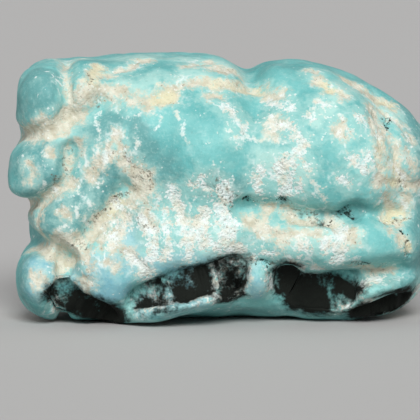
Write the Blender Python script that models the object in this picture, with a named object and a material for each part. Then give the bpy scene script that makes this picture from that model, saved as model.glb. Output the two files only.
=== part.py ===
"""Raw turquoise nugget, one grown piece, resting on a few worn flats.

Run it with: blender --background --python part.py
Metres, +Z up. The photographed side faces -Y, its left end is at -X.
The form is a rounded box shrunk like a skin onto a heap of smoothly joined lumps,
less its grooves and hollows.
Lumps, grooves and hollows are stated in millimetres, from the middle of the
underside.
"""

from collections import namedtuple

import bmesh
import bpy
import numpy as np

# Driving dimensions of the finished nugget, in metres.
LENGTH = 0.0350
DEPTH = 0.0205
HEIGHT = 0.0221
CELL = 0.00091
MM = 0.001

# How the skin is shrunk onto the form, in millimetres and rounds.
BASE_POWER = 3.0
REACH_OUT = 1.2
GROW_ROUNDS = 40
POLISH_ROUNDS = 3
RELAX_SHARE = 0.5
SLOPE_STEP = 0.1
LEAST_STEEPNESS = 0.5
LONGEST_STEP = 0.4
WORN_AWAY = 0.35

# A lump's tilt turns it about Y, as seen from the front: positive lifts its left end.
# Its power is 2 for an ellipsoid, and more for a boxier form.
Lump = namedtuple("Lump", "name at radii tilt blend power", defaults=(2.0,))
Groove = namedtuple("Groove", "name side path width depth")

LUMPS = (
    Lump("body", (-0.2, 0.8, 11.0), (15.2, 8.0, 10.1), 0, 1.5, 3.4),
    Lump("left block", (-8.8, -2.2, 11.2), (6.4, 5.8, 9.2), 0, 1.5, 5.0),
    Lump("left end high", (-11.4, 2.0, 14.4), (4.5, 5.4, 5.4), 0, 1.5),
    Lump("left end low", (-11.6, 1.0, 6.6), (3.6, 5.0, 4.2), 0, 1.2),
    Lump("right block", (9.7, 0.8, 8.6), (7.4, 7.4, 8.2), 0, 1.5, 4.0),
    Lump("front wall", (0.6, -2.6, 11.8), (12.6, 6.2, 7.6), 2, 1.5, 2.8),
    Lump("front bulge", (-1.8, -3.6, 14.4), (9.2, 6.1, 5.4), 3, 2.0),
    Lump("right bulge", (9.4, -3.2, 13.8), (6.8, 6.3, 5.6), 12, 2.4),
    Lump("top right knob", (6.3, -1.2, 16.9), (4.9, 6.0, 3.3), 8, 2.4),
    Lump("top shoulder", (11.7, 0.0, 13.3), (5.5, 6.6, 5.3), 28, 1.5, 2.4),
    Lump("top ridge", (-4.8, 0.4, 18.0), (9.6, 7.4, 3.9), 0, 1.6),
    Lump("top left knob", (-13.5, -2.4, 18.0), (3.1, 5.4, 3.5), 0, 1.1, 2.5),
    Lump("top left bud", (-11.0, -2.8, 18.8), (2.2, 5.0, 2.6), 0, 0.9, 2.5),
    Lump("left shelf", (-12.9, -2.4, 15.6), (3.5, 5.7, 2.6), 0, 1.2, 2.6),
    Lump("left lobe", (-13.7, -3.4, 12.3), (3.5, 4.9, 3.0), 6, 1.0, 2.9),
    Lump("left cheek", (-12.0, -3.5, 9.4), (3.5, 4.8, 2.8), -20, 1.2, 2.2),
    Lump("left hip", (-12.3, -2.6, 7.0), (2.8, 5.6, 2.6), 0, 1.2, 2.4),
    Lump("low left knob", (-14.2, -3.4, 3.6), (2.5, 4.8, 3.2), 4, 0.8, 2.3),
    Lump("low front lobe", (-9.3, -4.9, 4.7), (3.2, 4.3, 3.7), -12, 1.1, 2.2),
    Lump("low front bud", (-12.2, -7.0, 3.9), (1.2, 1.8, 1.1), 0, 0.6),
    Lump("low band left", (-2.4, -4.4, 6.8), (7.8, 4.8, 2.6), -13, 1.8, 2.3),
    Lump("low band right", (8.8, -3.9, 6.9), (8.0, 5.2, 2.7), 2, 1.4, 2.3),
    Lump("low ridge", (-2.6, -4.9, 1.8), (5.8, 4.0, 1.1), -13, 0.4),
    Lump("low pillar", (3.3, -4.4, 4.0), (1.5, 3.7, 2.4), 0, 0.9),
    Lump("low right strip", (12.9, -4.6, 2.9), (3.7, 3.0, 0.8), -14, 0.8),
    Lump("bottom left", (-10.8, -1.6, 1.9), (5.0, 5.6, 1.9), 0, 1.0, 2.6),
    Lump("bottom middle", (-0.6, -0.4, 2.3), (9.6, 5.6, 2.4), 0, 1.2),
    Lump("bottom right", (11.2, -1.0, 2.6), (5.6, 5.2, 2.7), -8, 1.0, 2.4),
    Lump("back bulge", (-5.2, 4.6, 12.0), (6.6, 5.4, 6.4), 0, 1.2),
    Lump("back right", (6.4, 4.6, 9.6), (6.6, 5.6, 6.4), 14, 1.2),
    Lump("back low left", (-9.6, 4.6, 5.6), (4.4, 4.6, 4.0), 0, 1.2),
    Lump("back low right", (8.8, 3.4, 4.6), (5.0, 5.2, 3.8), 0, 1.2),
    Lump("back top", (3.4, 4.0, 16.2), (4.8, 5.0, 4.2), 0, 1.4),
)

HOLLOWS = (
    Lump("under the low front lobe", (-10.9, -8.4, 1.7), (3.2, 6.2, 0.95), 24, 0.3, 2.2),
    Lump("over the low ridge", (-2.5, -9.6, 3.5), (4.4, 7.2, 1.05), -19, 0.3, 2.4),
    Lump("left hole", (1.1, -9.6, 4.1), (1.05, 7.6, 1.7), 14, 0.3, 2.2),
    Lump("right hole", (5.4, -9.6, 3.7), (1.2, 7.6, 1.4), -8, 0.3, 2.4),
    Lump("under the right band", (8.5, -9.6, 2.5), (3.1, 7.4, 1.4), 2, 0.4, 2.6),
    Lump("under the right end", (13.9, -9.2, 1.5), (3.6, 6.0, 0.9), -12, 0.3, 2.2),
)

GROOVES = (
    Groove(
        "over the low ridge", "front",
        ((-6.8, 2.6), (-4.6, 3.2), (-1.0, 4.0), (1.6, 4.9)),
        0.8, 0.9,
    ),
    Groove(
        "under the right band", "front",
        ((5.6, 3.4), (9.0, 3.4), (12.4, 4.6), (14.6, 4.6)),
        0.8, 0.9,
    ),
    Groove(
        "middle crease", "front",
        ((2.0, 9.8), (4.4, 9.7), (6.8, 9.2), (9.4, 8.9), (11.0, 9.4)),
        0.8, 1.2,
    ),
    Groove("right crease", "front", ((11.0, 9.4), (12.6, 9.2), (14.8, 9.0)), 0.8, 0.45),
    Groove(
        "top left band", "front",
        ((-17.6, 15.3), (-14.0, 15.8), (-11.6, 16.8), (-9.6, 18.0)),
        0.9, 0.7,
    ),
    Groove("bud gap", "front", ((-12.6, 22.0), (-12.5, 19.6), (-12.3, 17.4)), 0.7, 0.6),
    Groove(
        "top band", "front",
        ((-9.6, 18.0), (-6.0, 18.8), (-2.0, 19.2), (3.0, 19.2), (6.4, 18.0)),
        1.0, 0.3,
    ),
    Groove("diagonal", "front", ((-7.6, 11.4), (-9.6, 9.0), (-11.0, 7.2)), 0.8, 0.7),
    Groove(
        "left crease", "front",
        ((-16.6, 9.6), (-14.4, 10.4), (-12.4, 12.0), (-12.0, 14.6)),
        0.75, 0.9,
    ),
    Groove("low left crease", "front", ((-17.0, 7.0), (-13.6, 6.6), (-12.4, 5.6)), 0.8, 1.1),
    Groove("lobe gap", "front", ((-12.4, 5.6), (-12.5, 3.0), (-12.8, 1.0)), 0.8, 0.9),
    Groove(
        "right net", "front",
        ((10.2, 20.8), (12.6, 18.4), (13.8, 15.4), (14.8, 12.2), (14.6, 9.4)),
        0.8, 0.4,
    ),
    Groove("top notch", "top", ((2.9, -7.0), (2.8, -3.0), (2.0, 1.0), (2.6, 6.0)), 1.3, 0.9),
    Groove("back crease", "back", ((-0.6, 19.0), (-0.4, 14.0), (1.2, 9.0), (-1.6, 4.6)), 1.0, 0.7),
    Groove(
        "back band", "back",
        ((-14.0, 8.6), (-8.0, 8.8), (-1.0, 7.4), (5.0, 5.0), (13.0, 6.6)),
        1.0, 0.6,
    ),
)

# Uneven relief over the whole surface: the size of its swells and how high they stand.
RELIEF = ((5.2, 0.42), (2.7, 0.24))
LATTICE_KEY = (127.1, 311.7, 74.7)
LEAN_SCALES = (1.0, 1.37, 1.91)

# How far past the middle a groove takes to reach its full depth.
GROOVE_FADE = 3.0

# Which two axes a groove's path is drawn on, the axis it is seen along, and from which end.
SIDES = {
    "front": ((0, 2), 1, -1),
    "back": ((0, 2), 1, 1),
    "top": ((0, 1), 2, 1),
}


def smooth_least(a, b, blend):
    """The smaller of two distances, rounded off where they differ by less than blend."""
    near = np.maximum(blend - np.abs(a - b), 0.0) / blend
    return np.minimum(a, b) - near * near * blend / 4.0


def ellipsoid_distance(points, lump):
    """Roughly the distance from each point to the lump's surface, negative inside."""
    angle = np.radians(lump.tilt)
    x, y, z = (points - lump.at).T
    turned = np.stack((x * np.cos(angle) - z * np.sin(angle), y, x * np.sin(angle) + z * np.cos(angle)), 1)
    share = np.abs(turned / lump.radii) + 1e-6
    scaled = (share**lump.power).sum(1) ** (1.0 / lump.power)
    slope = np.linalg.norm(share ** (lump.power - 1.0) / lump.radii, axis=1) * scaled ** (1.0 - lump.power)
    return (scaled - 1.0) / slope


def path_distance(flat, path):
    """The distance from each point of a plane to a path of straight stretches."""
    nearest = np.full(len(flat), np.inf)
    for start, end in zip(np.array(path[:-1]), np.array(path[1:])):
        run = end - start
        along = np.clip(((flat - start) @ run) / (run @ run), 0.0, 1.0)
        nearest = np.minimum(nearest, np.linalg.norm(flat - start - along[:, None] * run, axis=1))
    return nearest


def groove_depth(points, groove):
    """How deep the groove is at each point: a soft trough along its path, on one side of the nugget."""
    plane, seen_along, end = SIDES[groove.side]
    middle = (0.0, 0.0, HEIGHT / MM / 2)[seen_along]
    facing = np.clip((points[:, seen_along] - middle) * end / GROOVE_FADE, 0.0, 1.0)
    away = path_distance(points[:, plane], groove.path) / groove.width
    return groove.depth * np.exp(-away * away) * facing


def swell(points, seed):
    """Smooth noise from -1 to 1: each corner of a unit lattice leans its own way, eased between corners."""
    cell = np.floor(points)
    inside = points - cell
    ease = inside**3 * (inside * (inside * 6.0 - 15.0) + 10.0)
    total = np.zeros(len(points))
    for corner in np.ndindex(2, 2, 2):
        key = (cell + corner) @ LATTICE_KEY + seed
        lean = np.stack([np.sin(key * scale) for scale in LEAN_SCALES], 1)
        share = np.prod(np.where(corner, ease, 1.0 - ease), axis=1)
        total += share * ((inside - corner) * lean).sum(1)
    return total


def outside(points):
    """Roughly how far each point is outside the nugget's surface, in millimetres."""
    distance = np.full(len(points), 1e3)
    for lump in LUMPS:
        distance = smooth_least(distance, ellipsoid_distance(points, lump), lump.blend)
    for hollow in HOLLOWS:
        distance = -smooth_least(-distance, ellipsoid_distance(points, hollow), hollow.blend)
    for groove in GROOVES:
        distance += groove_depth(points, groove)
    for seed, (size, height) in enumerate(RELIEF):
        distance += swell(points / size, seed) * height
    return distance


def add_rounded_box():
    """A cube primitive cut into cells of one size, as a mesh whose points stay on the unit cube."""
    bm = bmesh.new()
    bmesh.ops.create_cube(bm, size=2.0)
    for axis, side in enumerate((LENGTH, DEPTH, HEIGHT)):
        along = [e for e in bm.edges if abs((e.verts[0].co - e.verts[1].co)[axis]) > 1.0]
        bmesh.ops.subdivide_edges(bm, edges=along, cuts=round(side / CELL) - 1, use_grid_fill=True)
    mesh = bpy.data.meshes.new("nugget")
    bm.to_mesh(mesh)
    bm.free()
    return mesh


def mesh_points(mesh):
    flat = np.empty(len(mesh.vertices) * 3)
    mesh.vertices.foreach_get("co", flat)
    return flat.reshape(-1, 3)


def towards_surface(points):
    """The move that brings each point to the surface along the steepest way, held to the longest step."""
    here = outside(points)
    slope = np.stack([outside(points + step) - here for step in np.eye(3) * SLOPE_STEP], 1) / SLOPE_STEP
    steepness = np.linalg.norm(slope, axis=1)
    length = np.clip(here / np.maximum(steepness, LEAST_STEEPNESS), -LONGEST_STEP, LONGEST_STEP)
    return -slope * (length / steepness)[:, None]


def towards_neighbours(points, ends, count):
    """The move that brings each point to the middle of the points it shares an edge with."""
    middle = [np.bincount(ends[:, 0], points[ends[:, 1], axis]) / count for axis in range(3)]
    return np.stack(middle, 1) - points


def grown_points(cube, edges):
    """A superellipsoid around the nugget, shrunk onto it like a skin.

    In each round a point moves towards the middle of its neighbours, and then
    towards the surface by no more than the longest step.
    """
    ray = np.tan(cube * np.pi / 4)
    half = np.array((LENGTH, DEPTH, HEIGHT)) / MM / 2 + REACH_OUT
    ray *= half
    points = ray / (np.abs(ray / half) ** BASE_POWER).sum(1, keepdims=True) ** (1 / BASE_POWER)
    points += (0, 0, HEIGHT / MM / 2)
    ends = np.concatenate((edges, edges[:, ::-1]))
    count = np.bincount(ends[:, 0])
    for _ in range(GROW_ROUNDS):
        points += towards_neighbours(points, ends, count) * RELAX_SHARE
        points += towards_surface(points)
    for _ in range(POLISH_ROUNDS):
        points += towards_neighbours(points, ends, count) * RELAX_SHARE
    return points


def settle(points):
    """The underside worn flat where it touches, and the box moved to stand on the origin."""
    points[:, 2] = np.maximum(points[:, 2], points[:, 2].min() + WORN_AWAY)
    low, high = points.min(0), points.max(0)
    points -= ((low[0] + high[0]) / 2, (low[1] + high[1]) / 2, low[2])
    return points * np.array((LENGTH, DEPTH, HEIGHT)) / (high - low)


def stone_material():
    material = bpy.data.materials.new("turquoise")
    material.use_nodes = True
    shader = material.node_tree.nodes["Principled BSDF"]
    shader.inputs["Base Color"].default_value = (0.20, 0.55, 0.53, 1.0)
    shader.inputs["Roughness"].default_value = 0.42
    shader.inputs["Metallic"].default_value = 0.0
    return material


def main():
    for old in list(bpy.data.objects):
        bpy.data.objects.remove(old)
    mesh = add_rounded_box()
    edges = np.array([e.vertices[:] for e in mesh.edges])
    points = grown_points(mesh_points(mesh), edges)
    mesh.vertices.foreach_set("co", settle(points).ravel())
    mesh.materials.append(stone_material())
    mesh.shade_smooth()
    nugget = bpy.data.objects.new("nugget", mesh)
    collection = bpy.data.collections.new("raw turquoise nugget")
    bpy.context.scene.collection.children.link(collection)
    collection.objects.link(nugget)


main()
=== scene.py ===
# Raw turquoise nugget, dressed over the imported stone. Blender 4.5.
# The form is worked out in millimetres and put into the mesh in metres. +Z is up, the front faces -Y.

import math

import bpy
import numpy as np
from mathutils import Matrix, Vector


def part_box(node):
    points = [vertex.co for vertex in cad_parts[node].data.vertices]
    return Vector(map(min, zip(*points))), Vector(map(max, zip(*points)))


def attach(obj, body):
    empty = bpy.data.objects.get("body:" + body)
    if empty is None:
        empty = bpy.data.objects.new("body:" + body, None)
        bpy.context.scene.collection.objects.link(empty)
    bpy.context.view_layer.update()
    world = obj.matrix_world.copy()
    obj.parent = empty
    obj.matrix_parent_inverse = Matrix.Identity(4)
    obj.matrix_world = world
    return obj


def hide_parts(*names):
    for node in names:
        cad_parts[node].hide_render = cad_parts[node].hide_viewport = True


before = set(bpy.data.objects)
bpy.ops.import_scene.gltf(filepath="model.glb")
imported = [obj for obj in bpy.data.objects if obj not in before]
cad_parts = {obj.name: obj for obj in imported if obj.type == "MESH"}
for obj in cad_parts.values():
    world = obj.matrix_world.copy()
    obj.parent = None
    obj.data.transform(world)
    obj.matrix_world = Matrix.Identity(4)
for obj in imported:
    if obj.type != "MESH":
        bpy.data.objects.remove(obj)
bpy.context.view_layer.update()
stoneLow, stoneHigh = (np.array(corner) * 1000 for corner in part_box("nugget"))
stoneSize = stoneHigh - stoneLow

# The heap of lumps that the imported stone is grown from, in millimetres. Only the low pillar differs:
# here it is about 1 mm wider, and the left and right holes beside it are narrower.
# A lump: name, middle, radii, tilt about Y in degrees, blend, power (2 is an ellipsoid, more is boxier).
# A groove: name, side it is seen from, path, half width, depth.
form = {
    "lumps": [
        ("body", (-0.2, 0.8, 11.0), (15.2, 8.0, 10.1), 0, 1.5, 3.4),
        ("left block", (-8.8, -2.2, 11.2), (6.4, 5.8, 9.2), 0, 1.5, 5.0),
        ("left end high", (-11.4, 2.0, 14.4), (4.5, 5.4, 5.4), 0, 1.5, 2.0),
        ("left end low", (-11.6, 1.0, 6.6), (3.6, 5.0, 4.2), 0, 1.2, 2.0),
        ("right block", (9.7, 0.8, 8.6), (7.4, 7.4, 8.2), 0, 1.5, 4.0),
        ("front wall", (0.6, -2.6, 11.8), (12.6, 6.2, 7.6), 2, 1.5, 2.8),
        ("front bulge", (-1.8, -3.6, 14.4), (9.2, 6.1, 5.4), 3, 2.0, 2.0),
        ("right bulge", (9.4, -3.2, 13.8), (6.8, 6.3, 5.6), 12, 2.4, 2.0),
        ("top right knob", (6.3, -1.2, 16.9), (4.9, 6.0, 3.3), 8, 2.4, 2.0),
        ("top shoulder", (11.7, 0.0, 13.3), (5.5, 6.6, 5.3), 28, 1.5, 2.4),
        ("top ridge", (-4.8, 0.4, 18.0), (9.6, 7.4, 3.9), 0, 1.6, 2.0),
        ("top left knob", (-13.5, -2.4, 18.0), (3.1, 5.4, 3.5), 0, 1.1, 2.5),
        ("top left bud", (-11.0, -2.8, 18.8), (2.2, 5.0, 2.6), 0, 0.9, 2.5),
        ("left shelf", (-12.9, -2.4, 15.6), (3.5, 5.7, 2.6), 0, 1.2, 2.6),
        ("left lobe", (-13.7, -3.4, 12.3), (3.5, 4.9, 3.0), 6, 1.0, 2.9),
        ("left cheek", (-12.0, -3.5, 9.4), (3.5, 4.8, 2.8), -20, 1.2, 2.2),
        ("left hip", (-12.3, -2.6, 7.0), (2.8, 5.6, 2.6), 0, 1.2, 2.4),
        ("low left knob", (-14.2, -3.4, 3.6), (2.5, 4.8, 3.2), 4, 0.8, 2.3),
        ("low front lobe", (-9.3, -4.9, 4.7), (3.2, 4.3, 3.7), -12, 1.1, 2.2),
        ("low front bud", (-12.2, -7.0, 3.9), (1.2, 1.8, 1.1), 0, 0.6, 2.0),
        ("low band left", (-2.4, -4.4, 6.8), (7.8, 4.8, 2.6), -13, 1.8, 2.3),
        ("low band right", (8.8, -3.9, 6.9), (8.0, 5.2, 2.7), 2, 1.4, 2.3),
        ("low ridge", (-2.6, -4.9, 1.8), (5.8, 4.0, 1.1), -13, 0.4, 2.0),
        ("low pillar", (3.2, -4.4, 4.0), (1.8, 3.9, 2.4), 0, 0.9, 2.0),
        ("low right strip", (12.9, -4.6, 2.9), (3.7, 3.0, 0.8), -14, 0.8, 2.0),
        ("bottom left", (-10.8, -1.6, 1.9), (5.0, 5.6, 1.9), 0, 1.0, 2.6),
        ("bottom middle", (-0.6, -0.4, 2.3), (9.6, 5.6, 2.4), 0, 1.2, 2.0),
        ("bottom right", (11.2, -1.0, 2.6), (5.6, 5.2, 2.7), -8, 1.0, 2.4),
        ("back bulge", (-5.2, 4.6, 12.0), (6.6, 5.4, 6.4), 0, 1.2, 2.0),
        ("back right", (6.4, 4.6, 9.6), (6.6, 5.6, 6.4), 14, 1.2, 2.0),
        ("back low left", (-9.6, 4.6, 5.6), (4.4, 4.6, 4.0), 0, 1.2, 2.0),
        ("back low right", (8.8, 3.4, 4.6), (5.0, 5.2, 3.8), 0, 1.2, 2.0),
        ("back top", (3.4, 4.0, 16.2), (4.8, 5.0, 4.2), 0, 1.4, 2.0),
    ],
    "hollows": [
        ("under the low front lobe", (-10.9, -8.4, 1.7), (3.2, 6.2, 0.95), 24, 0.3, 2.2),
        ("over the low ridge", (-2.5, -9.6, 3.5), (4.4, 7.2, 1.05), -19, 0.3, 2.4),
        ("left hole", (0.8, -9.6, 4.1), (0.9, 7.6, 1.6), 14, 0.3, 2.2),
        ("right hole", (5.7, -9.6, 3.7), (1.0, 7.6, 1.3), -8, 0.3, 2.4),
        ("under the right band", (8.5, -9.6, 2.5), (3.1, 7.4, 1.4), 2, 0.4, 2.6),
        ("under the right end", (13.9, -9.2, 1.5), (3.6, 6.0, 0.9), -12, 0.3, 2.2),
    ],
    "grooves": [
        ("over the low ridge", "front", [(-6.8, 2.6), (-4.6, 3.2), (-1.0, 4.0), (1.6, 4.9)], 0.8, 0.9),
        ("under the right band", "front", [(5.6, 3.4), (9.0, 3.4), (12.4, 4.6), (14.6, 4.6)], 0.8, 0.9),
        ("middle crease", "front", [(2.0, 9.8), (4.4, 9.7), (6.8, 9.2), (9.4, 8.9), (11.0, 9.4)], 0.8, 1.2),
        ("right crease", "front", [(11.0, 9.4), (12.6, 9.2), (14.8, 9.0)], 0.8, 0.45),
        ("top left band", "front", [(-17.6, 15.3), (-14.0, 15.8), (-11.6, 16.8), (-9.6, 18.0)], 0.9, 0.7),
        ("bud gap", "front", [(-12.6, 22.0), (-12.5, 19.6), (-12.3, 17.4)], 0.7, 0.6),
        ("top band", "front", [(-9.6, 18.0), (-6.0, 18.8), (-2.0, 19.2), (3.0, 19.2), (6.4, 18.0)], 1.0, 0.3),
        ("diagonal", "front", [(-7.6, 11.4), (-9.6, 9.0), (-11.0, 7.2)], 0.8, 0.7),
        ("left crease", "front", [(-16.6, 9.6), (-14.4, 10.4), (-12.4, 12.0), (-12.0, 14.6)], 0.75, 0.9),
        ("low left crease", "front", [(-17.0, 7.0), (-13.6, 6.6), (-12.4, 5.6)], 0.8, 1.1),
        ("lobe gap", "front", [(-12.4, 5.6), (-12.5, 3.0), (-12.8, 1.0)], 0.8, 0.9),
        ("right net", "front",
         [(10.2, 20.8), (12.6, 18.4), (13.8, 15.4), (14.8, 12.2), (14.6, 9.4)], 0.8, 0.4),
        ("top notch", "top", [(2.9, -7.0), (2.8, -3.0), (2.0, 1.0), (2.6, 6.0)], 1.3, 0.9),
        ("back crease", "back", [(-0.6, 19.0), (-0.4, 14.0), (1.2, 9.0), (-1.6, 4.6)], 1.0, 0.7),
        ("back band", "back", [(-14.0, 8.6), (-8.0, 8.8), (-1.0, 7.4), (5.0, 5.0), (13.0, 6.6)], 1.0, 0.6),
    ],
    "grooveFade": 3.0,
    "swells": [(5.2, 0.42), (2.7, 0.24)],    # size and height of the uneven relief
    "wornAway": 0.35,                        # how much the resting flats are worn
}

# How the skin is shrunk onto the form: cells along each side, then rounds at each fineness.
skin = {
    "cells": (40, 24, 26),
    "power": 3.0,
    "reachOut": 1.2,
    "rounds": (40, 22, 4),
    "relaxShares": (0.5, 0.4, 0.3),
    "slopeStep": 0.1,
    "leastSteepness": 0.5,
    "longestStep": 0.4,
}

# The view that the marks are drawn in, and that the camera takes: picture points run right and down.
view = {
    "distance": 300.0,
    "elevation": 6.0,
    "width": 420,
    "stoneSpan": 417,              # picture points that the stone's length takes
    "stoneMiddle": (219.5, 189.25),
    "stoneMiddleHeight": 10.6,
    "seenFacing": 0.02,            # how far a point faces the view to take a mark
    "shownFacing": (-0.05, 0.30),  # between these, hidden marks give way to drawn ones
    "missAllowed": 2.0,            # picture points by which a drawn point may miss
    "nearnessPull": 0.25,          # how strongly a nearer point is preferred
    "sensorWidth": 36,
    "clip": (0.01, 10),
}

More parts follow.
